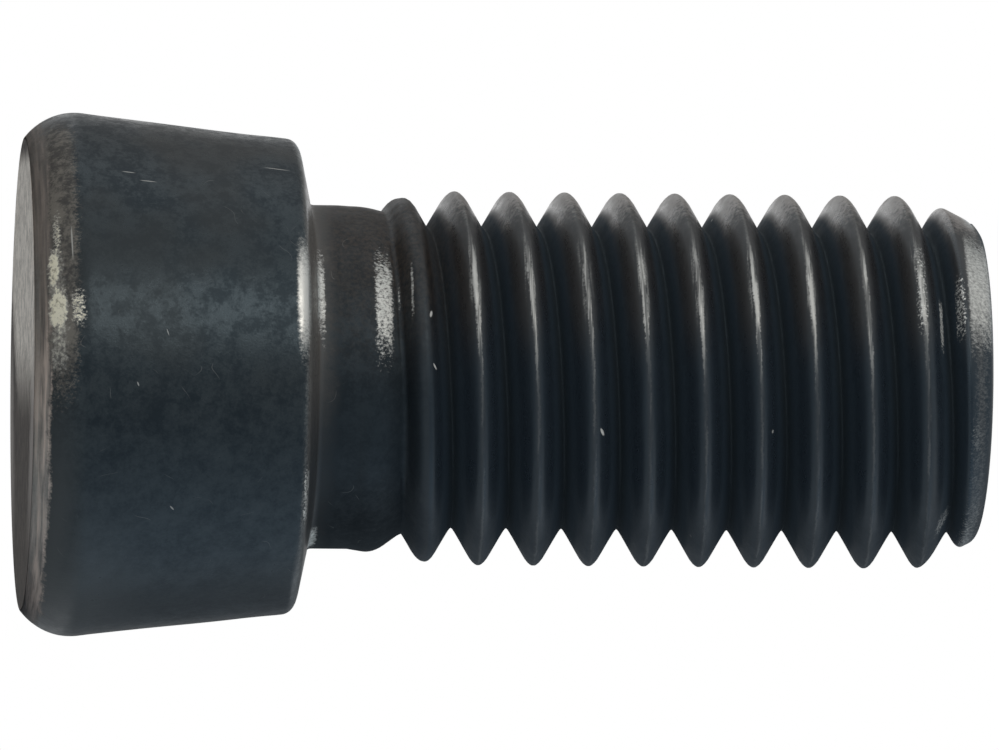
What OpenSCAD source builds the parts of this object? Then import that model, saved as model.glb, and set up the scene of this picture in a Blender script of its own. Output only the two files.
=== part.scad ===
// Plow bolt: tapered round head, short plain neck and a coarse right-hand thread. Sizes in mm.
// It stands on its head: the face is at z = 0 and the axis runs up to the threaded tip.

/* [Head] */
// Largest diameter of the head, just behind its rounded rim
head_d = 16.5; // [14:0.1:20]
// Height from the face to the rear corner of the head
head_h = 8.6; // [6:0.1:12]
// Taper of the head's side towards the neck, degrees
head_taper = 6.5; // [2:0.5:10]
// How far the rim draws in from the largest diameter to the flat face
rim_w = 0.8; // [0.3:0.05:1.5]
// Height of the rounded rim
rim_h = 1.6; // [0.6:0.1:2.5]
// Bevel on the rear corner of the head
rear_bevel = 0.3; // [0.1:0.05:0.6]
// Slope of the rear of the head towards the neck, degrees
rear_slope = 12; // [4:1:25]

/* [Neck] */
// How far the plain neck lies under the thread crests
neck_drop = 0.515; // [0.2:0.005:0.8]
// Length of the plain neck above its fillet
neck_l = 1.15; // [0.3:0.05:10]
// Radius of the fillet where the neck meets the head
fillet_r = 0.2; // [0.1:0.05:0.8]

/* [Thread] */
// Overall length from the face to the tip
overall_l = 30.2; // [24:0.1:60]
// Diameter over the thread crests
thread_d = 11.87; // [9:0.01:13.5]
// Distance between neighbouring crests
pitch = 1.75; // [1:0.05:2.5]
// Width of the flat on a full crest
crest_flat = 0.26; // [0.1:0.01:0.4]
// Width of the flat at the root
root_flat = 0.22; // [0.1:0.01:0.4]
// Length over which the neck swells to the full crests
swell_l = 3.3; // [1:0.1:4]
// Height from the start of the swell to the start of the groove
groove_lead = 0.225; // [0.1:0.005:1]
// Turns over which the groove sinks to full depth
sink_turns = 1.1; // [0.5:0.1:2]
// How far the taper at the tip draws in from the crests
tip_w = 0.95; // [0.4:0.05:2]
// Length of the taper at the tip
tip_l = 1.9; // [0.5:0.05:3]

/* [Hidden] */

// the thread has flanks of 30 degrees, so its depth follows from the pitch and the two flats
flank_a = 30;
thread_r = thread_d / 2;
root_r = thread_r - (pitch - crest_flat - root_flat) / 2 / tan(flank_a);
neck_r = thread_r - neck_drop;

// the rim's circle runs through the face's edge and touches the largest diameter at the rim's height
face_r = head_d / 2 - rim_w;
rim_r = (rim_w * rim_w + rim_h * rim_h) / (2 * rim_w);
rim_c = [head_d / 2 - rim_r, rim_h];

// the taper leaves the rim's circle on its tangent and ends at the rear bevel
taper_start = rim_c + rim_r * [cos(head_taper), sin(head_taper)];
taper_end_z = head_h - rear_bevel;
taper_end = [taper_start[0] - (taper_end_z - taper_start[1]) * tan(head_taper), taper_end_z];
rear_corner = [taper_end[0] - rear_bevel, head_h];

// the fillet's circle touches the sloped rear of the head and the neck
fillet_x = neck_r + fillet_r;
fillet_z = head_h + (rear_corner[0] - fillet_x) * tan(rear_slope) + fillet_r / cos(rear_slope);
fillet_foot = [fillet_x, fillet_z] - fillet_r * [sin(rear_slope), cos(rear_slope)];

// the neck swells into the thread, and the groove starts just outside the swell
swell_z = fillet_z + neck_l;
groove_z = swell_z + groove_lead;
clear = crest_flat / 2;
groove_start_r = neck_r + neck_drop * (groove_lead + root_flat) / swell_l + clear / 4;
groove_start_a = 90;
groove_steps = 36;
groove_count = ceil(groove_steps * (overall_l + pitch - groove_z) / pitch);

// radius of the groove's floor, which sinks a little faster at first than later
function floor_r(i) =
    let (t = min(1, i / (sink_turns * groove_steps)))
    groove_start_r - (groove_start_r - root_r) * pow(t, 0.7);

// one ring of the groove's outline, four points from its lower edge to its upper edge
function groove_ring(i) =
    let (a = groove_start_a + 360 * i / groove_steps,
         z = groove_z + pitch * i / groove_steps,
         low = floor_r(i),
         out = thread_r + clear,
         mouth = root_flat / 2 + (out - low) * tan(flank_a))
    [for (p = [[out, -mouth], [low, -root_flat / 2], [low, root_flat / 2], [out, mouth]])
        [p[0] * cos(a), p[0] * sin(a), z + p[1]]];

module plow_bolt() {
    color([0.11, 0.115, 0.12])
        difference() {
            rotate_extrude($fn = 120) blank_half();
            groove();
        }
}

// half section of the bolt before the thread is cut
module blank_half() {
    difference() {
        union() {
            polygon([[0, 0], [face_r, 0], taper_start, taper_end, rear_corner, fillet_foot,
                     [neck_r, fillet_z], [neck_r, swell_z], [thread_r, swell_z + swell_l],
                     [thread_r, overall_l - tip_l], [thread_r - tip_w, overall_l], [0, overall_l]]);
            intersection() {
                translate(rim_c) circle(r = rim_r, $fn = 120);
                translate([face_r - rim_w, 0]) square([2 * rim_w + rim_r, taper_start[1]]);
            }
        }
        translate([fillet_x, fillet_z]) circle(r = fillet_r, $fn = 60);
    }
}

// helical groove between the crests, from the neck to past the tip
module groove() {
    last = 4 * groove_count;
    polyhedron(
        points = [for (i = [0 : groove_count]) each groove_ring(i)],
        faces = concat(
            [[for (j = [0 : 3]) j]],
            [for (i = [0 : groove_count - 1]) for (j = [0 : 3])
                let (a = 4 * i + j, b = 4 * i + (j + 1) % 4)
                each [[a, a + 4, b], [b, a + 4, b + 4]]],
            [[for (j = [3 : -1 : 0]) last + j]]),
        convexity = 12);
}

plow_bolt();
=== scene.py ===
import math

import bmesh
import bpy
import numpy as np
from mathutils import Matrix, Vector


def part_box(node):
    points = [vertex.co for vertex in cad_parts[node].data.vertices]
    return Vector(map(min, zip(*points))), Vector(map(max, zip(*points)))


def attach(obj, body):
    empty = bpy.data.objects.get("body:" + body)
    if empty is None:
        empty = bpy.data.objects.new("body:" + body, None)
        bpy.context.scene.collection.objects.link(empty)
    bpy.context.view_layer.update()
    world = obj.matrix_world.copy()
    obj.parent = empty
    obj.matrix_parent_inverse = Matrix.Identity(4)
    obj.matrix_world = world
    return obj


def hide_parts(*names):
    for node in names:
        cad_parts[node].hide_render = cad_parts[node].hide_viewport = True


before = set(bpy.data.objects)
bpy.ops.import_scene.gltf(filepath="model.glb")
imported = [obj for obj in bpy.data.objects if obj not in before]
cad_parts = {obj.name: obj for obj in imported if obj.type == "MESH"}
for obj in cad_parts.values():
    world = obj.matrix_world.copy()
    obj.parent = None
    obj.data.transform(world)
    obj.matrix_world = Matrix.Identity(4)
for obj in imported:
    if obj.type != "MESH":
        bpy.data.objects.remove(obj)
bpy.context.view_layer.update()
bpy.context.scene.view_settings.view_transform = "Standard"

# The bolt's shape
# One piece of steel: a tapered round head is forged on a bar, a short plain neck is left behind it,
# and the thread is rolled up to the tip, so its crests are two lips that meet in a shallow fold.
MM = 0.001
low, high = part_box("plow_bolt")
head_r = (high.x - low.x) / 2 / MM
length = high.z / MM

rim_w = 0.8
rim_h = 1.6
face_r = head_r - rim_w
head_h = 8.6
head_taper = 6.5
rear_slope = 12
rear_bevel = 0.3
rear_round = 0.42
edge_round = 0.12
neck_r = 5.42
fillet_r = 0.2

thread_r = 5.935
root_r = 4.835
pitch = 1.75
root_flat = 0.22
root_tip = 0.05
flank = math.tan(math.radians(30))
crest_round = 0.32
swell_z = 10.29
swell_l = 3.3
groove_z = 10.515
groove_start_r = 5.522
sink_turns = 1.1
sink_power = 0.7
runout_lag = 0.4
runout_slope = 0.3
tip_w = 0.95
tip_l = 1.9
tip_round = 0.4
tip_blend = 0.08

# the fold on a crest starts where the crest is nearly full, and its depth wanders in waves: their
# share of the depth, their count in a turn and their lean along the axis
fold_depth = 0.009
fold_w = 0.035
fold_start_r = 5.7
fold_grow = 0.2
fold_start_turn = 0.3
fold_waves = ((0.35, 5, 1.7), (0.25, 11, -3.1))

# the forged side of the head is uneven in waves: depth, count round it, lean along the axis, shift
side_low = 1.2
side_high = 8.0
side_ease = 1.0
side_sink = 0.018
side_waves = ((0.010, 3, 0.9, 0.0), (0.007, 7, -1.3, 1.0))


def arc(centre, radius, start, stop, count):
    """Points on a circle in the half section, from angle start to angle stop in degrees."""
    a = np.radians(np.linspace(start, stop, count))
    return np.column_stack([centre[0] + radius * np.cos(a), centre[1] + radius * np.sin(a)])


def line(start, stop, count):
    """Points between start and stop in the half section, without the two ends."""
    share = np.linspace(0, 1, count + 2)[1:-1, None]
    return np.asarray(start) * (1 - share) + np.asarray(stop) * share


def rounded(corner, radius, first, second, count):
    """An arc that touches both walls at a corner.

    The walls' outward normals point at first and second, in degrees. The arc's centre lies inward
    from the corner on the bisector, by the radius over the cosine of half the angle between them."""
    half = math.radians(second - first) / 2
    middle = math.radians(first + second) / 2
    reach = radius / math.cos(half)
    centre = (corner[0] - reach * math.cos(middle), corner[1] - reach * math.sin(middle))
    return arc(centre, radius, first, second, count)


def head_section():
    """The half section from the middle of the face over the rim, the taper and the rear to the neck.

    The rim is a circle through the face's edge that is upright at the rim's height. The fillet is
    a circle that touches the sloped rear and the neck."""
    rim_r = (rim_w ** 2 + rim_h ** 2) / (2 * rim_w)
    rim_c = (head_r - rim_r, rim_h)
    rim_start = math.degrees(math.atan2(-rim_h, face_r - rim_c[0]))
    edge = rounded((face_r, 0), edge_round, -90, rim_start, 5)
    rim = arc(rim_c, rim_r, rim_start + 5, head_taper, 17)
    slope = math.tan(math.radians(head_taper))
    taper_end = rim[-1, 0] - (head_h - rear_bevel - rim[-1, 1]) * slope
    rise = math.tan(math.radians(rear_slope))
    drop = rear_bevel * (1 - slope) * rise / (1 - slope * rise)
    corner = (taper_end - (rear_bevel - drop) * slope, head_h - drop)
    rear = rounded(corner, rear_round, head_taper, 90 - rear_slope, 9)
    fillet_x = neck_r + fillet_r
    fillet_lift = fillet_r / math.cos(math.radians(rear_slope))
    fillet_z = corner[1] + (corner[0] - fillet_x) * rise + fillet_lift
    fillet = arc((fillet_x, fillet_z), fillet_r, -90 - rear_slope, -180, 8)
    face = line((0, 0), edge[0], 12)
    taper = line(rim[-1], rear[0], 30)
    shoulder = line(rear[-1], fillet[0], 7)
    return np.vstack([[[0, 0]], face, edge, rim, taper, rear, shoulder, fillet])


def smooth_min(a, b, width):
    """The smaller of a and b, eased into one another where they differ by less than width."""
    ease = np.maximum(width - np.abs(a - b), 0) / width
    return np.minimum(a, b) - ease ** 2 * width / 4


def blank_radius(z):
    """Radius before the thread is rolled: the neck swells in a straight line to the full crest, and
    a straight taper draws in to the tip."""
    swell = neck_r + (thread_r - neck_r) * np.clip((z - swell_z) / swell_l, 0, 1)
    tip = thread_r - tip_w * np.clip((z - length + tip_l) / tip_l, 0, None)
    return smooth_min(swell, tip, tip_blend)


def threaded(blank, turn, z):
    """The blank's radius cut by the helical groove, whose floor sinks over its first turn.

    turn is the azimuth from the start of the groove in whole turns. The groove's section is a
    hyperbola with a narrow round root. Where it runs out, its lower wall lies flatter and it lags a
    little. The crest that it leaves is eased, and folded in the middle by a bell curve."""
    along = (z - groove_z) / pitch - turn
    cut = blank
    for n in (np.floor(along), np.floor(along) + 1):
        done = np.clip((n + turn) / sink_turns, 0, 1)
        bottom = groove_start_r - (groove_start_r - root_r) * done ** sink_power
        away = (along - n) * pitch - runout_lag * (1 - done)
        lower = runout_slope + (1 / flank - runout_slope) * done ** 3
        steep = np.where(away < 0, lower, 1 / flank)
        wall = bottom + (np.hypot(away, root_tip) - root_flat / 2) * steep
        cut = np.where(n + turn < 0, cut, smooth_min(cut, wall, crest_round))
    from_crest = (along - np.floor(along) - 0.5) * pitch
    full = np.clip((blank - fold_start_r) / fold_grow, 0, 1) * (along > fold_start_turn)
    wander = 1
    for share, count, lean in fold_waves:
        wander = wander + share * np.sin(2 * np.pi * count * turn + lean * z)
    return cut - full * fold_depth * wander * np.exp(-(from_crest / fold_w) ** 2)


def uneven_side(spin, z):
    """How far the side of the head is sunk: a little all over, and in waves round it."""
    sunk = side_sink
    for depth, count, lean, shift in side_waves:
        sunk = sunk + depth * np.sin(count * spin + lean * z + shift)
    return sunk * np.clip((z - side_low) / side_ease, 0, 1) * np.clip((side_high - z) / side_ease, 0, 1)


def clock_of(azimuth):
    """Degrees round the axis from the bolt's front, -Y, towards -X."""
    return (270 - azimuth + 180) % 360 - 180


def dent(azimuth, z, at_clock, at_z, half_clock, half_z, depth):
    """A smooth hollow, a bell curve in angle and in height."""
    a = (clock_of(azimuth) - at_clock) / half_clock
    h = (z - at_z) / half_z
    return depth * np.exp(-a ** 2 - h ** 2)


def bolt_grid(columns, turn_rows, turns=10, gather=0.7, clear_r=9.0, tip_ease=0.1):
    """Radius and height over rows of the section and columns of azimuth.

    Rows are level in the head and at the tip. In the thread they climb with the helix, so that
    crests and roots run along them, and gather there. One turn of rows opens like a fan from the
    groove's start, and one turn closes like a fan at the tip. The rounded end of the tip is cut by
    the groove alone, as if the blank were as wide as clear_r."""
    turn = np.linspace(0, 1, columns + 1)
    fan_z = groove_z - pitch / 2
    step = np.arange(turn_rows) / turn_rows
    share = step - gather / (4 * np.pi) * np.sin(4 * np.pi * step)
    head = head_section()
    neck_z = np.linspace(head[-1, 1], fan_z, 5)[1:-1]
    fan = fan_z + pitch * turn * share[:, None]
    climb = (np.arange(turns)[:, None] + share).ravel()[:, None]
    thread = fan_z + pitch * (turn + climb)
    close_z = fan_z + pitch * (turns + 1)
    close = close_z - pitch * (1 - turn) * (1 - share[:, None])
    tip_angle = math.degrees(math.atan2(tip_w, tip_l))
    corner = rounded((thread_r - tip_w, length), tip_round, tip_angle, 90, 9)
    last_z = np.linspace(close_z, corner[0, 1], 32)[:-1]
    neck, last = [np.repeat(v[:, None], columns + 1, 1) for v in (neck_z, last_z)]
    z = np.vstack([neck, fan, thread, close, last])
    r = threaded(blank_radius(z), turn, z)
    head_rows = np.repeat(head[:, :, None], columns + 1, 2)
    tip_rows = np.repeat(corner[:, :, None], columns + 1, 2)
    groove_r = threaded(np.full_like(tip_rows[:, 0], clear_r), turn, tip_rows[:, 1])
    tip_r = smooth_min(tip_rows[:, 0], groove_r, tip_ease)
    inward = np.linspace(1, 0, 12)[1:, None]
    end_r = tip_r[-1] * inward
    end_z = np.full_like(end_r, length)
    radius = np.vstack([head_rows[:, 0], r, tip_r, end_r])
    height = np.vstack([head_rows[:, 1], z, tip_rows[:, 1], end_z])
    return radius, height, turn


def grid_mesh(name, points, rows, columns, weld):
    """A mesh of quads over a grid of points, welded where rows or columns of points meet."""
    corner = np.arange(rows * columns).reshape(rows, columns)
    sides = [corner[:-1, :-1], corner[:-1, 1:], corner[1:, 1:], corner[1:, :-1]]
    quads = np.stack(sides, -1).reshape(-1, 4)
    mesh = bpy.data.meshes.new(name)
    mesh.vertices.add(len(points))
    mesh.vertices.foreach_set("co", points.ravel())
    mesh.loops.add(quads.size)
    mesh.loops.foreach_set("vertex_index", quads.ravel())
    mesh.polygons.add(len(quads))
    mesh.polygons.foreach_set("loop_start", np.arange(0, quads.size, 4))
    mesh.update(calc_edges=True)
    work = bmesh.new()
    work.from_mesh(mesh)
    bmesh.ops.remove_doubles(work, verts=work.verts, dist=weld)
    work.to_mesh(mesh)
    work.free()
    mesh.polygons.foreach_set("use_smooth", np.ones(len(mesh.polygons), bool))
    mesh.update()
    return mesh


radius, height, turn = bolt_grid(columns=180, turn_rows=26)
azimuth = 90 + 360 * turn[None, :] + 0 * radius
spin = np.radians(azimuth)
radius = radius - uneven_side(spin, height)
radius = radius - dent(azimuth, height, at_clock=-9, at_z=19.5, half_clock=10, half_z=0.3, depth=0.07)
points = np.stack([radius * np.cos(spin), radius * np.sin(spin), height], axis=-1).reshape(-1, 3) * MM
bolt = bpy.data.objects.new("bolt", grid_mesh("bolt", points, *radius.shape, weld=0.002 * MM))
bpy.context.scene.collection.objects.link(bolt)
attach(bolt, "root")
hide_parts("plow_bolt")

# The bolt's finish
# Blued, almost black oxide over the whole bolt, brown at the rim, with fine scratches and dust. It is
# rubbed through to bright steel on the crests, the corners and where the bolt was gripped. Painted light
# is laid in too: a sheen on the upper thread, a reflection on the rim and the face, paler grey low on
# the head and a glint on the rim patch.


def fill(tree, socket, value):
    """Links a socket to another node's output, or sets its own value."""
    if isinstance(value, bpy.types.NodeSocket):
        tree.links.new(value, socket)
    else:
        socket.default_value = value


def add(tree, kind, values=None, **settings):
    """A shader node of one kind. settings are its properties, and values fill or link its sockets."""
    made = tree.nodes.new("ShaderNode" + kind)
    for name, value in settings.items():
        setattr(made, name, value)
    for socket, value in (values or {}).items():
        fill(tree, made.inputs[socket], value)
    return made


def calc(tree, operation, *terms):
    """The result of one Math node."""
    return add(tree, "Math", dict(enumerate(terms)), operation=operation).outputs[0]


def times(tree, first, *others):
    """The product of several values."""
    for other in others:
        first = calc(tree, "MULTIPLY", first, other)
    return first


def most(tree, first, *others):
    """The largest of several values."""
    for other in others:
        first = calc(tree, "MAXIMUM", first, other)
    return first


def scaled(tree, value, scale, start):
    """start plus scale times the value."""
    return calc(tree, "MULTIPLY_ADD", value, scale, start)


def outside(tree, mask):
    """1 where the mask is 0, and 0 where it is 1."""
    return calc(tree, "SUBTRACT", 1.0, mask)


def ramp(tree, value, start, stop):
    """Goes smoothly from 0 where value is start to 1 where it is stop."""
    sockets = {"Value": value, "From Min": start, "From Max": stop}
    return add(tree, "MapRange", sockets, interpolation_type="SMOOTHSTEP").outputs["Result"]


def noise(tree, vector, scale, detail, roughness):
    """Noise round 0.5 over a vector in millimetres."""
    sockets = {"Vector": vector, "Scale": scale, "Detail": detail, "Roughness": roughness}
    return add(tree, "TexNoise", sockets).outputs["Fac"]


def stretched(tree, vector, across, along, shift=0.0):
    """The vector in millimetres, scaled across the axis and along it.

    shift moves it to another place in the noise."""
    sockets = {"Vector": vector, "Scale": (across, across, along), "Location": (shift, shift, shift)}
    return add(tree, "Mapping", sockets).outputs["Vector"]


def blend(tree, share, first, second):
    """A colour between two colours."""
    return add(tree, "Mix", {0: share, 6: first, 7: second}, data_type="RGBA").outputs[2]


def front_angle(tree, x, y):
    """The angle in radians round the axis from the front, -Y, towards -X."""
    return calc(tree, "ARCTAN2", times(tree, x, -1.0), times(tree, y, -1.0))


def new_group(name, inputs, outputs):
    """A node group with named inputs and outputs, and the sockets inside it."""
    made = bpy.data.node_groups.new(name, "ShaderNodeTree")
    for way, sockets in (("INPUT", inputs), ("OUTPUT", outputs)):
        for socket in sockets:
            kind = "NodeSocketVector" if socket == "Point" else "NodeSocketFloat"
            made.interface.new_socket(socket, in_out=way, socket_type=kind)
    return made, made.nodes.new("NodeGroupInput").outputs, made.nodes.new("NodeGroupOutput").inputs


# Where a point is: millimetres, degrees from the front towards -X, and distance from the nearest crest
place, got, give = new_group(
    "Place on the bolt", ["Point"], ["Point", "Clock", "Height", "Radius", "Crest"])
in_mm = add(place, "VectorMath", {0: got["Point"], "Scale": 1 / MM}, operation="SCALE").outputs["Vector"]
x, y, z = add(place, "SeparateXYZ", {"Vector": in_mm}).outputs
degrees = times(place, front_angle(place, x, y), 180 / math.pi)
climbed = scaled(place, degrees, pitch / 360, calc(place, "SUBTRACT", z, groove_z + pitch))
across = calc(place, "WRAP", climbed, pitch / 2, -pitch / 2)
from_axis = calc(place, "SQRT", scaled(place, x, x, times(place, y, y)))
for socket, value in zip(give, (in_mm, degrees, z, from_axis, across)):
    place.links.new(value, socket)

# A worn patch between two angles and two heights, whose edge is ragged where the speckle breaks it
patch, got, give = new_group(
    "Worn patch",
    ["Clock", "Height", "Speckle", "Clock from", "Clock to", "Clock soft",
     "Height from", "Height to", "Height soft", "Cover", "Ragged"],
    ["Mask"])
cover = got["Cover"]
for name in ("Clock", "Height"):
    for end, inward in (("from", "ADD"), ("to", "SUBTRACT")):
        edge = got[name + " " + end]
        inside = calc(patch, inward, edge, got[name + " soft"])
        cover = times(patch, cover, ramp(patch, got[name], edge, inside))
ragged = times(patch, calc(patch, "SUBTRACT", got["Speckle"], 0.5), got["Ragged"])
rubbed_bare = ramp(patch, calc(patch, "ADD", cover, ragged), 0.2, 0.8)
patch.links.new(times(patch, rubbed_bare, ramp(patch, cover, 0.0, 0.2)), give["Mask"])

# Hairlines where a slow noise crosses its middle value, kept only in short lengths
hairline, got, give = new_group("Fine scratches", ["Point"], ["Mask"])
hairs = []
for scale, width, shift in ((0.5, 0.0025, 0.0), (0.9, 0.004, 40.0)):
    slow = noise(hairline, stretched(hairline, got["Point"], 1.0, 1.0, shift), scale, 1.0, 0.4)
    off_middle = calc(hairline, "ABSOLUTE", calc(hairline, "SUBTRACT", slow, 0.5))
    lengths = noise(hairline, stretched(hairline, got["Point"], 1.0, 1.0, shift + 9.0), 1.1, 1.0, 0.5)
    short = ramp(hairline, lengths, 0.63, 0.70)
    hairs.append(times(hairline, ramp(hairline, off_middle, width, 0.0), short))
hairline.links.new(most(hairline, *hairs), give["Mask"])

# A small mark, an ellipse that may lean
spot, got, give = new_group(
    "Small mark",
    ["Clock", "Height", "At clock", "At height", "Half clock", "Half height", "Lean"],
    ["Mask"])
sideways = calc(spot, "SUBTRACT", got["Clock"], got["At clock"])
sideways = calc(spot, "DIVIDE", sideways, got["Half clock"])
risen = calc(spot, "SUBTRACT", got["Height"], got["At height"])
risen = calc(spot, "DIVIDE", scaled(spot, sideways, got["Lean"], risen), got["Half height"])
apart = calc(spot, "SQRT", scaled(spot, sideways, sideways, times(spot, risen, risen)))
spot.links.new(ramp(spot, apart, 1.0, 0.5), give["Mask"])

# The noises that the finish is made of: blotches, grain, fine specks, strands round the axis and
# large areas
steel_finish = bpy.data.materials.new("black_steel")
steel_finish.use_nodes = True
tree = steel_finish.node_tree
tree.nodes.clear()
where = add(tree, "Group", {"Point": add(tree, "TexCoord").outputs["Object"]}, node_tree=place)
point, clock, at_height, at_radius, crest = where.outputs
cloud = noise(tree, point, scale=1.1, detail=4.0, roughness=0.9)
grain = noise(tree, point, scale=7.0, detail=3.0, roughness=0.7)
speckle = noise(tree, stretched(tree, point, 13.0, 9.0), scale=1.0, detail=2.0, roughness=0.75)
streak = noise(tree, stretched(tree, point, 0.5, 10.0), scale=1.0, detail=3.0, roughness=0.6)
patchy = noise(tree, stretched(tree, point, 1.0, 1.0, 20.0), scale=0.28, detail=2.0, roughness=0.5)


def placed(group, *values):
    """The mask of a worn patch or a small mark, with the values of its sockets in order."""
    made = add(tree, "Group", node_tree=group)
    for socket, value in zip(made.inputs, values):
        fill(tree, socket, value)
    return made.outputs["Mask"]


def worn(*sizes, broken=speckle):
    """A worn patch: from, to and softness round the axis in degrees from the front, the same along it
    in millimetres from the face, then cover and raggedness."""
    return placed(patch, clock, at_height, broken, *sizes)


def mark(*sizes):
    """A small mark: its angle in degrees from the front, its height in millimetres from the face, its
    half sizes round and along the axis, and its lean."""
    return placed(spot, clock, at_height, *sizes)


# Blue-black oxide, mottled at every size on the head, darker and plainer behind it. raised is the
# clock angle folded at the top and the bottom, so that broad tones meet at the back
raised = calc(tree, "PINGPONG", calc(tree, "ADD", clock, 90.0), 180.0)
raised = calc(tree, "SUBTRACT", raised, 90.0)
cloud_sway = calc(tree, "SUBTRACT", cloud, 0.5)
contrast = scaled(tree, ramp(tree, raised, -25.0, 15.0), 0.80, 0.55)
mottle = ramp(tree, scaled(tree, cloud_sway, contrast, 0.5), 0.36, 0.64)
head_blue = blend(tree, mottle, (0.007, 0.0095, 0.012, 1), (0.033, 0.040, 0.043, 1))
plain_blue = blend(tree, mottle, (0.003, 0.0045, 0.0065, 1), (0.013, 0.0165, 0.0195, 1))
oxide = blend(tree, ramp(tree, at_height, 8.5, 9.0), head_blue, plain_blue)

# In the thread the oxide is plain, bluer below and darkest at the roots. On the upper side one flank
# beside each crest is a painted sheen, a paler grey
in_thread = ramp(tree, at_height, 11.6, 13.0)
from_crest = calc(tree, "ABSOLUTE", crest)
thread_blue = (0.020, 0.028, 0.037, 1)
thread_grey = (0.031, 0.029, 0.029, 1)
thread_tone = blend(tree, ramp(tree, raised, 5.0, 45.0), thread_blue, thread_grey)
oxide = blend(tree, times(tree, in_thread, 0.9), oxide, thread_tone)
in_root = times(tree, ramp(tree, from_crest, 0.40, 0.65), ramp(tree, at_height, 11.8, 12.6))
root_blue = (0.017, 0.026, 0.036, 1)
oxide = blend(tree, in_root, oxide, root_blue)
root_core = times(tree, in_root, ramp(tree, from_crest, 0.62, 0.88))
root_black = (0.013, 0.017, 0.020, 1)
oxide = blend(tree, root_core, oxide, root_black)
# painted sheen: a paler grey on one flank beside each crest, on the upper side
flank_sheen = times(tree, ramp(tree, crest, -0.70, -0.15), ramp(tree, crest, 0.35, 0.05))
flank_sheen = times(tree, flank_sheen, in_thread, ramp(tree, raised, 0.0, 25.0))
flank_sheen_grey = (0.058, 0.054, 0.051, 1)
oxide = blend(tree, times(tree, flank_sheen, 0.75), oxide, flank_sheen_grey)
crest_line = times(tree, in_thread, ramp(tree, from_crest, 0.16, 0.04))
crest_brown = (0.070, 0.060, 0.052, 1)
oxide = blend(tree, times(tree, crest_line, 0.2), oxide, crest_brown)

# Painted reflection: the upper crests are pale, paler the higher they lie, with an edge that wanders
top_crest_sheen = ramp(tree, scaled(tree, cloud_sway, 26.0, raised), 53.0, 73.0)
top_crest_sheen = times(tree, top_crest_sheen, in_thread, outside(tree, in_root))
top_sheen_share = ramp(tree, scaled(tree, raised, 0.012, grain), 1.10, 1.45)
top_sheen_tone = blend(tree, top_sheen_share, (0.018, 0.016, 0.014, 1), (0.28, 0.258, 0.242, 1))
oxide = blend(tree, top_crest_sheen, oxide, top_sheen_tone)

# Brown on the upper side of the neck and behind the rim, and here and there on the head. The rear of the
# head is paler, most on its upper side, and low on the side near the rim the head is painted a paler
# grey, painted light where the floor shades it
neck_brown = times(tree, ramp(tree, raised, -10.0, 50.0), ramp(tree, at_height, 8.7, 9.6))
neck_brown = times(tree, neck_brown, ramp(tree, at_height, 15.0, 11.0))
neck_grain = ramp(tree, grain, 0.25, 0.75)
neck_tone = blend(tree, neck_grain, (0.006, 0.004, 0.003, 1), (0.056, 0.040, 0.028, 1))
oxide = blend(tree, neck_brown, oxide, neck_tone)
# the rear of the head is paler, most on its upper side
on_rear = ramp(tree, scaled(tree, cloud, 0.9, at_height), 10.15, 9.40)
on_rear = times(tree, on_rear, ramp(tree, at_height, 8.42, 8.60))
rear_upper_share = ramp(tree, raised, -30.0, 20.0)
rear_pale_tone = blend(tree, rear_upper_share, (0.032, 0.033, 0.034, 1), (0.115, 0.105, 0.095, 1))
oxide = blend(tree, on_rear, oxide, rear_pale_tone)
rim_brown = ramp(tree, scaled(tree, cloud, 1.6, at_height), 2.1, 1.1)
rim_brown = times(tree, rim_brown, ramp(tree, raised, -25.0, 15.0))
head_brown = times(tree, ramp(tree, patchy, 0.42, 0.62), ramp(tree, at_height, 9.0, 8.5))
head_brown = times(tree, head_brown, ramp(tree, raised, -15.0, 20.0))
warm = most(tree, rim_brown, times(tree, head_brown, 0.55))
warm_brown = (0.030, 0.027, 0.022, 1)
oxide = blend(tree, warm, oxide, warm_brown)
# painted light: the lower side near the rim is a paler grey
low_side_light = times(tree, ramp(tree, raised, -15.0, -65.0), ramp(tree, at_height, 4.5, 0.6))
by_rim_light = times(tree, ramp(tree, raised, 5.0, -35.0), ramp(tree, at_height, 1.7, 0.7))
painted_light_grey = (0.056, 0.060, 0.060, 1)
oxide = blend(tree, most(tree, low_side_light, by_rim_light), oxide, painted_light_grey)

# The rim is tan on its front and upper side, a brown made pale as a painted reflection, and pale in fine
# streaks at its corner with the face
# painted reflection: the tan tone is pale enough to stand for the light the rim reflects
tan = worn(-14, 84, 24, 0.10, 1.62, 0.60, 0.95, 1.8)
tan_tone = blend(tree, mottle, (0.065, 0.057, 0.049, 1), (0.185, 0.168, 0.142, 1))
oxide = blend(tree, tan, oxide, tan_tone)
corner = scaled(tree, cloud, 0.6, scaled(tree, grain, 0.16, at_height))
corner = ramp(tree, corner, 0.94, 0.76)
corner_share = scaled(tree, ramp(tree, raised, 25.0, -10.0), 0.75, 0.25)
corner_share = times(tree, corner_share, ramp(tree, streak, 0.25, 0.75))
corner_share = times(tree, corner_share, ramp(tree, raised, -95.0, -40.0))
corner_tone = blend(tree, corner_share, (0.066, 0.053, 0.045, 1), (0.760, 0.620, 0.530, 1))
oxide = blend(tree, corner, oxide, corner_tone)

# The face is brown, with a paler band near its edge on the front and a little below it, a painted
# reflection
on_face = ramp(tree, at_height, 0.012, 0.004)
# painted reflection: a pale band near the face's edge
face_reflection_band = ramp(tree, scaled(tree, cloud, 2.0, at_radius), 5.8, 7.2)
face_reflection_band = times(tree, face_reflection_band, ramp(tree, raised, 20.0, -10.0), ramp(tree, raised, -60.0, -20.0))
face_brown = blend(tree, mottle, (0.045, 0.033, 0.025, 1), (0.110, 0.086, 0.068, 1))
face_reflection_pale = (0.265, 0.236, 0.214, 1)
oxide = blend(tree, on_face, oxide, blend(tree, face_reflection_band, face_brown, face_reflection_pale))

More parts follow.
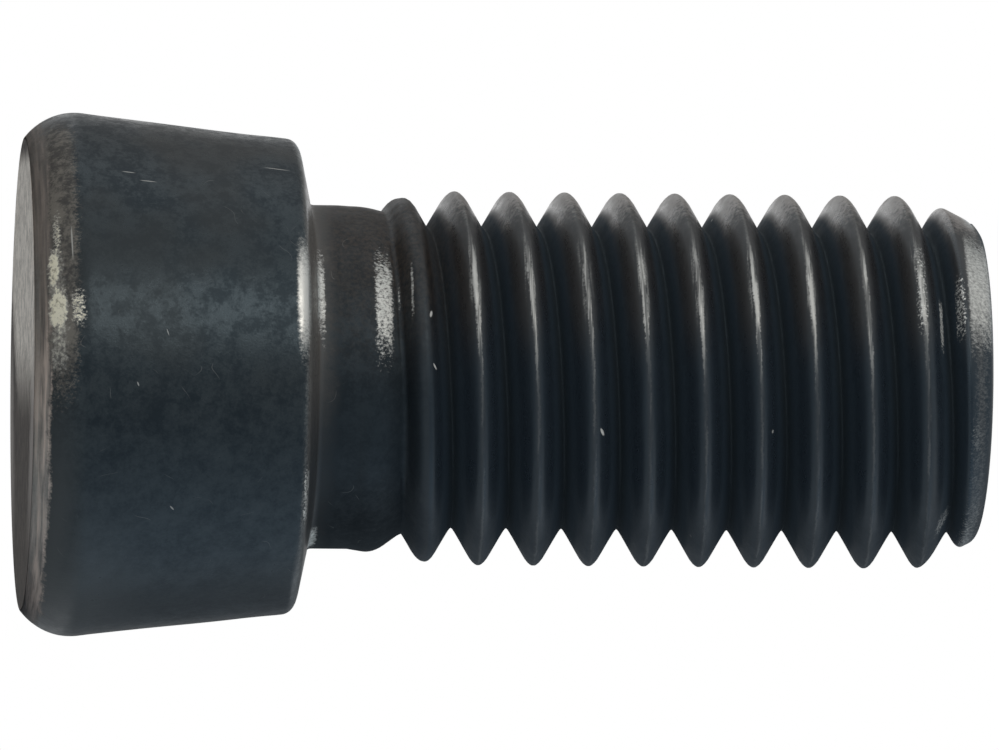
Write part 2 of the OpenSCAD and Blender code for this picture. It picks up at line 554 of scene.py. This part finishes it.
# Bright steel: patches in the picture, the rest of each edge here and there
elsewhere = scaled(tree, ramp(tree, patchy, 0.48, 0.62), 0.8, 0.2)
round_edges = most(
    tree,
    worn(-200, 200, 1, 8.26, 8.80, 0.22, 0.40, 0.9),
    worn(-200, -80, 25, 8.95, 9.24, 0.12, 0.42, 1.2),
    worn(70, 200, 25, 8.95, 9.24, 0.12, 0.42, 1.2),
    worn(-200, 200, 1, 29.3, 30.3, 0.45, 0.40, 1.0))
front_edges = most(
    tree,
    worn(-6, 46, 28, 8.02, 8.76, 0.30, 0.92, 0.7),
    worn(4, 54, 22, 8.88, 9.26, 0.12, 0.66, 1.6),
    worn(-4, 58, 28, 10.66, 11.42, 0.22, 0.68, 1.7),
    worn(16, 44, 10, 11.84, 11.98, 0.06, 0.50, 1.5),
    worn(20, 38, 8, 11.46, 11.60, 0.06, 0.36, 1.2),
    worn(-42, -20, 7, 8.42, 8.68, 0.09, 0.52, 2.2),
    worn(-84, -55, 10, 8.70, 9.28, 0.20, 0.60, 1.5),
    worn(8, 34, 8, 28.45, 28.65, 0.08, 0.62, 2.0),
    worn(12, 42, 10, 28.96, 29.36, 0.16, 0.42, 3.2),
    worn(-6, 80, 36, 29.28, 30.3, 0.22, 0.60, 0.8),
    worn(10, 52, 14, 27.64, 28.12, 0.17, 0.36, 2.8),
    worn(-66, -48, 8, 28.5, 29.2, 0.25, 0.38, 1.5))
rim_patch = most(
    tree,
    worn(16, 32, 8, 0.30, 0.86, 0.28, 1.10, 1.8, broken=grain),
    worn(7, 22, 7, 0.28, 1.14, 0.40, 1.20, 1.8, broken=grain),
    worn(4, 36, 12, 0.22, 1.06, 0.30, 0.40, 0.9, broken=grain),
    worn(22, 42, 9, 0.50, 0.90, 0.18, 0.52, 1.8),
    worn(-4, 22, 8, 0.30, 1.20, 0.34, 0.42, 1.0, broken=grain),
    worn(9, 20, 4, 1.00, 1.66, 0.26, 0.54, 2.2))
on_end = times(tree, ramp(tree, at_height, 30.0, 30.1), ramp(tree, at_radius, 4.9, 4.5))
edge_wear = most(tree, times(tree, round_edges, elsewhere), front_edges)
edge_wear = times(tree, edge_wear, outside(tree, on_end))

# The crests are rubbed most where the bolt was gripped, in strands that run along them
gripped = times(tree, ramp(tree, clock, -5.0, 26.0), ramp(tree, clock, 54.0, 34.0))
far_side = ramp(tree, calc(tree, "ABSOLUTE", clock), 100.0, 125.0)
gripped = most(tree, gripped, times(tree, far_side, ramp(tree, patchy, 0.42, 0.6)))
off_crest = scaled(tree, cloud_sway, 0.16, crest)
off_crest = scaled(tree, calc(tree, "SUBTRACT", speckle, 0.5), 0.14, off_crest)
off_crest = calc(tree, "ABSOLUTE", off_crest)
lips = ramp(tree, scaled(tree, gripped, -0.045, off_crest), 0.06, 0.01)
lips = times(tree, lips, ramp(tree, at_radius, 5.62, 5.80), ramp(tree, at_height, 12.4, 13.6))
strands = scaled(tree, ramp(tree, streak, 0.42, 0.60), 0.58, 0.14)
crest_wear = times(tree, lips, strands, scaled(tree, gripped, 0.88, 0.12))
frayed = times(tree, ramp(tree, clock, 14.0, 28.0), ramp(tree, clock, 52.0, 38.0))
frayed = times(tree, frayed, ramp(tree, off_crest, 0.22, 0.08), ramp(tree, at_height, 12.8, 13.8))
frayed = times(tree, frayed, ramp(tree, streak, 0.50, 0.60), ramp(tree, speckle, 0.30, 0.55))
crest_wear = most(tree, crest_wear, times(tree, frayed, 0.45))

# The corner of the rim is rubbed lower down. The face is painted bare steel on one side of a chord, a
# painted reflection of the pale card below it
corner_wear = scaled(tree, ramp(tree, raised, 20.0, -30.0), 0.22, 0.08)
corner_wear = times(tree, corner, corner_wear)
edge_line = times(tree, ramp(tree, at_height, 0.22, 0.10), ramp(tree, raised, 50.0, 10.0))
corner_wear = scaled(tree, edge_line, 0.20, corner_wear)
corner_wear = times(tree, corner_wear, ramp(tree, raised, -70.0, -30.0), scaled(tree, grain, 1.2, 0.4))
corner_wear = times(tree, corner_wear, outside(tree, on_face))
# painted reflection: the face turns to bare steel on one side of a chord
face_point = add(tree, "SeparateXYZ", {"Vector": point}).outputs
chord = scaled(tree, face_point["X"], -1.08, times(tree, face_point["Y"], -1.0))
chord = ramp(tree, scaled(tree, cloud, 1.5, chord), -4.2, -1.6)
face_reflection_span = times(tree, ramp(tree, face_point["X"], 1.6, -1.4), ramp(tree, face_point["X"], -7.2, -6.4))
face_painted_reflection = times(tree, chord, on_face, face_reflection_span, scaled(tree, mottle, 0.5, 0.6))
wear_and_painted_light = most(tree, edge_wear, rim_patch, crest_wear, corner_wear, face_painted_reflection)

# Fine scratches, specks and lint
scratch = add(tree, "Group", {"Point": point}, node_tree=hairline).outputs["Mask"]
scratched = times(tree, scratch, ramp(tree, at_height, 12.0, 10.5))
speck = add(tree, "TexVoronoi", {"Vector": point, "Scale": 0.6})
speck_draw = add(tree, "SeparateXYZ", {"Vector": speck.outputs["Color"]}).outputs["X"]
specks = ramp(tree, speck.outputs["Distance"], 0.045, 0.02)
specks = times(tree, specks, ramp(tree, speck_draw, 0.93, 0.94))
bright_marks = most(
    tree,
    mark(20.9, 12.47, 1.5, 0.05, -0.03),
    mark(3.7, 12.58, 1.2, 0.04, 0.06),
    mark(-16.6, 17.84, 1.7, 0.055, 0.07))
soft_marks = most(
    tree,
    mark(51.4, 3.00, 0.22, 0.24, 0.08),
    mark(48.9, 3.60, 0.22, 0.30, 0.10),
    mark(58.9, 7.70, 0.25, 0.42, 0.24),
    mark(-1.9, 3.18, 0.6, 0.03, 0.03),
    mark(-31.2, 4.34, 0.7, 0.035, 0.07),
    mark(9.7, 4.10, 0.9, 0.022, 0.04),
    mark(30.0, 1.15, 5.0, 0.03, 0.02))
pale = most(tree, times(tree, scratched, 0.15), times(tree, specks, 0.6))
pale = most(tree, pale, times(tree, soft_marks, 0.5), bright_marks)

# Colour and metal: bare steel where the oxide is worn or a reflection is painted, a little yellow on the
# rim and brown on the face, and pale marks on top. Nearly half of the rim patch is a near-white matte, a
# painted glint
plain_steel = blend(tree, on_face, (0.76, 0.77, 0.74, 1), (0.82, 0.75, 0.67, 1))
rim_grain = ramp(tree, grain, 0.32, 0.56)
rim_steel_glint = blend(tree, rim_grain, (0.50, 0.47, 0.36, 1), (0.97, 0.94, 0.78, 1))
steel = blend(tree, rim_patch, plain_steel, rim_steel_glint)
mark_grey = (0.70, 0.70, 0.67, 1)
colour = blend(tree, pale, blend(tree, wear_and_painted_light, oxide, steel), mark_grey)
# painted glint: on the rim patch nearly half of the metal is a near-white matte
marks_and_painted_glint = most(tree, pale, times(tree, rim_patch, 0.45))
metal = times(tree, wear_and_painted_light, outside(tree, marks_and_painted_glint))

# Roughness: the head is mottled, the thread smoother but for its crests and roots, and everything
# behind the head is rough on the underside
underside = ramp(tree, raised, -30.0, -65.0)
behind_head = ramp(tree, at_height, 8.8, 9.2)
near_crest = times(tree, in_thread, ramp(tree, from_crest, 0.45, 0.10), ramp(tree, raised, -45.0, 5.0))
rough = scaled(tree, mottle, -0.14, 0.36)
for mask, change in (
        (grain, 0.12),
        (in_thread, -0.28),
        (near_crest, 0.20),
        (behind_head, 0.21),
        (times(tree, behind_head, underside), 0.45),
        (most(tree, corner, tan), 0.16),
        (most(tree, in_root, on_face), 0.5),
        (most(tree, round_edges, front_edges, rim_patch), 0.10)):
    rough = scaled(tree, mask, change, rough)

# Relief: fine grain, less of it in the thread, and turned rings on the face and the end
turned_flat = most(tree, on_face, on_end)
ring_at = add(tree, "CombineXYZ", {"X": at_radius}).outputs["Vector"]
rings = times(tree, noise(tree, ring_at, scale=4.0, detail=2.0, roughness=0.6), turned_flat)
relief = scaled(tree, speckle, 0.5, times(tree, grain, 0.5))
smoother = times(tree, in_thread, ramp(tree, raised, 68.0, 54.0))
relief = times(tree, relief, scaled(tree, smoother, -0.95, 1.0))
relief = scaled(tree, rings, 2.0, relief)
bump = add(tree, "Bump", {"Strength": 0.6, "Distance": 0.012 * MM, "Height": relief})
shader = add(tree, "BsdfPrincipled", {
    "Base Color": colour,
    "Metallic": metal,
    "Roughness": rough,
    "IOR": 1.52,
    "Specular Tint": (0.64, 0.85, 1.0, 1),
    "Normal": bump.outputs["Normal"]})
add(tree, "OutputMaterial", {"Surface": shader.outputs["BSDF"]})
bolt.data.materials.append(steel_finish)

# The floor
# A pale card on which the bolt stands on its head, with a hole under the face. The photograph is
# taken from just below its plane, so it is clear from below. Far off it fades into white.
card_r = 4.0
hole_gap = 0.03
hole_r = (face_r - hole_gap) * MM
card_rings = 24
card_spokes = 97
ring_r = np.geomspace(hole_r, card_r, card_rings)[:, None]
ring_a = np.linspace(0, 2 * np.pi, card_spokes)
flat_z = np.zeros((card_rings, card_spokes))
card_points = np.stack([ring_r * np.cos(ring_a), ring_r * np.sin(ring_a), flat_z], axis=-1)
card_points = card_points[::-1].reshape(-1, 3)
card_mesh = grid_mesh("floor", card_points, card_rings, card_spokes, weld=0.001 * MM)
floor = bpy.data.objects.new("floor", card_mesh)
bpy.context.scene.collection.objects.link(floor)
card = bpy.data.materials.new("pale_card")
card.use_nodes = True
tree = card.node_tree
tree.nodes.clear()
matte = add(tree, "BsdfDiffuse", {"Color": (0.86, 0.86, 0.86, 1)}).outputs["BSDF"]
clear = add(tree, "BsdfTransparent").outputs["BSDF"]
glare = add(tree, "Emission", {"Color": (0.95, 0.95, 0.95, 1), "Strength": 1.0}).outputs["Emission"]
backdrop = add(tree, "Emission", {"Color": (1, 1, 1, 1), "Strength": 1.0}).outputs["Emission"]
from_below = add(tree, "NewGeometry").outputs["Backfacing"]
ray = add(tree, "LightPath").outputs
card_point = add(tree, "TexCoord").outputs["Object"]
from_bolt = add(tree, "VectorMath", {0: card_point}, operation="LENGTH").outputs["Value"]
card_x = add(tree, "SeparateXYZ", {"Vector": card_point}).outputs["X"]

# the bolt's gloss sees the card as white on the -X side, and the camera sees it as white far off
in_gloss = times(tree, ray["Is Glossy Ray"], ramp(tree, from_bolt, 0.02, 0.06))
in_gloss = times(tree, in_gloss, ramp(tree, card_x, 0.01, -0.01))
top = add(tree, "MixShader", {0: in_gloss, 1: matte, 2: glare}).outputs["Shader"]
faded = times(tree, ray["Is Camera Ray"], ramp(tree, from_bolt, 0.03, 0.45))
top = add(tree, "MixShader", {0: faded, 1: top, 2: backdrop}).outputs["Shader"]
seen = add(tree, "MixShader", {0: from_below, 1: top, 2: clear}).outputs["Shader"]
add(tree, "OutputMaterial", {"Surface": seen})
floor.data.materials.append(card)

# The light
# A plain studio: a white background, paler walls at the sides, a dim room behind the camera, a
# little cooler on one side, and one soft warm lamp high at the side with a weaker one opposite.
world = bpy.data.worlds.new("studio")
bpy.context.scene.world = world
world.use_nodes = True
tree = world.node_tree
tree.nodes.clear()
direction = add(tree, "TexCoord").outputs["Generated"]
sky_x, sky_y, sky_z = add(tree, "SeparateXYZ", {"Vector": direction}).outputs
round_share = scaled(tree, front_angle(tree, sky_x, sky_y), 0.5 / math.pi, 0.5)
walls = add(tree, "ValToRGB", {"Fac": round_share})

# how bright the room is at each angle off the front, and how much bluer on its cool side
wall_levels = [
    (-180, 0.9), (-176, 0.3), (-150, 0.12), (-122, 0.12), (-95, 0.68), (-60, 0.52),
    (-20, 0.22), (20, 0.36), (60, 0.56), (90, 0.75), (105, 0.68), (120, 0.4),
    (137, 0.25), (155, 0.3), (168, 0.95), (180, 1.0)]
cool_share = 0.14
cool_from = -160
stops = walls.color_ramp.elements
for wall_angle, brightness in wall_levels[1:-1]:
    stops.new(wall_angle / 360 + 0.5)
for stop, (wall_angle, brightness) in zip(stops, wall_levels):
    cool = cool_share if cool_from < wall_angle < 0 else 0.0
    stop.color = (brightness * (1 - cool), brightness, brightness * (1 + cool), 1)
overhead = ramp(tree, calc(tree, "ABSOLUTE", sky_z), 0.6, 0.95)
room_colour = blend(tree, overhead, walls.outputs["Color"], (0.5, 0.5, 0.5, 1))
room = add(tree, "Background", {"Color": room_colour, "Strength": 1.0}).outputs["Background"]
white = add(tree, "Background", {"Color": (1, 1, 1, 1), "Strength": 1.0}).outputs["Background"]
camera_ray = add(tree, "LightPath").outputs["Is Camera Ray"]
both = add(tree, "MixShader", {0: camera_ray, 1: room, 2: white}).outputs["Shader"]
add(tree, "OutputWorld", {"Surface": both})


def soft_lamp(name, clock_angle, elevation, distance, size, brightness, colour):
    """A square lamp that faces the middle of the bolt.

    Its angles are off the front and above the floor, in degrees."""
    a = math.radians(clock_angle)
    e = math.radians(elevation)
    aim = Vector((0, 0, length / 2 * MM))
    off = Vector((-math.sin(a) * math.cos(e), -math.cos(a) * math.cos(e), math.sin(e)))
    lamp = bpy.data.lights.new(name, "AREA")
    lamp.size = size
    lamp.color = colour
    lamp.energy = brightness * math.pi * size ** 2
    made = bpy.data.objects.new(name, lamp)
    made.location = aim + off * distance
    made.rotation_mode = "QUATERNION"
    made.rotation_quaternion = (-off).to_track_quat("-Z", "Y")
    bpy.context.scene.collection.objects.link(made)


soft_lamp("window", 31, 22, distance=0.40, size=0.19, brightness=2.2, colour=(1.0, 0.94, 0.87))
soft_lamp("fill", -130, 30, distance=0.60, size=0.30, brightness=0.8, colour=(1.0, 1.0, 1.0))

# The camera
# A long lens almost square to the bolt's axis, a little round to the face's side. It is turned on
# its side, so that the bolt lies across the picture with its face on the left.
photo_w = 999
photo_h = 750
focal_px = 13000
mm_per_px = 0.03158
yaw = math.radians(5.0)
roll = math.radians(0.548)
anchor_px = (500.0, 378.6)
anchor = Vector((0, 0, 15.1))
forward = Vector((0, math.cos(yaw), math.sin(yaw)))
level_right = Vector((0, -math.sin(yaw), math.cos(yaw)))
level_up = Vector((-1, 0, 0))
right = math.cos(roll) * level_right + math.sin(roll) * level_up
up = math.cos(roll) * level_up - math.sin(roll) * level_right
move_right = (photo_w / 2 - anchor_px[0]) * mm_per_px
move_up = (anchor_px[1] - photo_h / 2) * mm_per_px
eye = anchor - forward * focal_px * mm_per_px + right * move_right + up * move_up
lens = bpy.data.cameras.new("camera")
lens.sensor_width = 36
lens.lens = focal_px * lens.sensor_width / photo_w
lens.clip_start = 0.01
lens.clip_end = 50
camera = bpy.data.objects.new("camera", lens)
facing = Matrix((right, up, -forward)).transposed().to_4x4()
camera.matrix_world = Matrix.Translation(eye * MM) @ facing
bpy.context.scene.collection.objects.link(camera)
bpy.context.scene.camera = camera
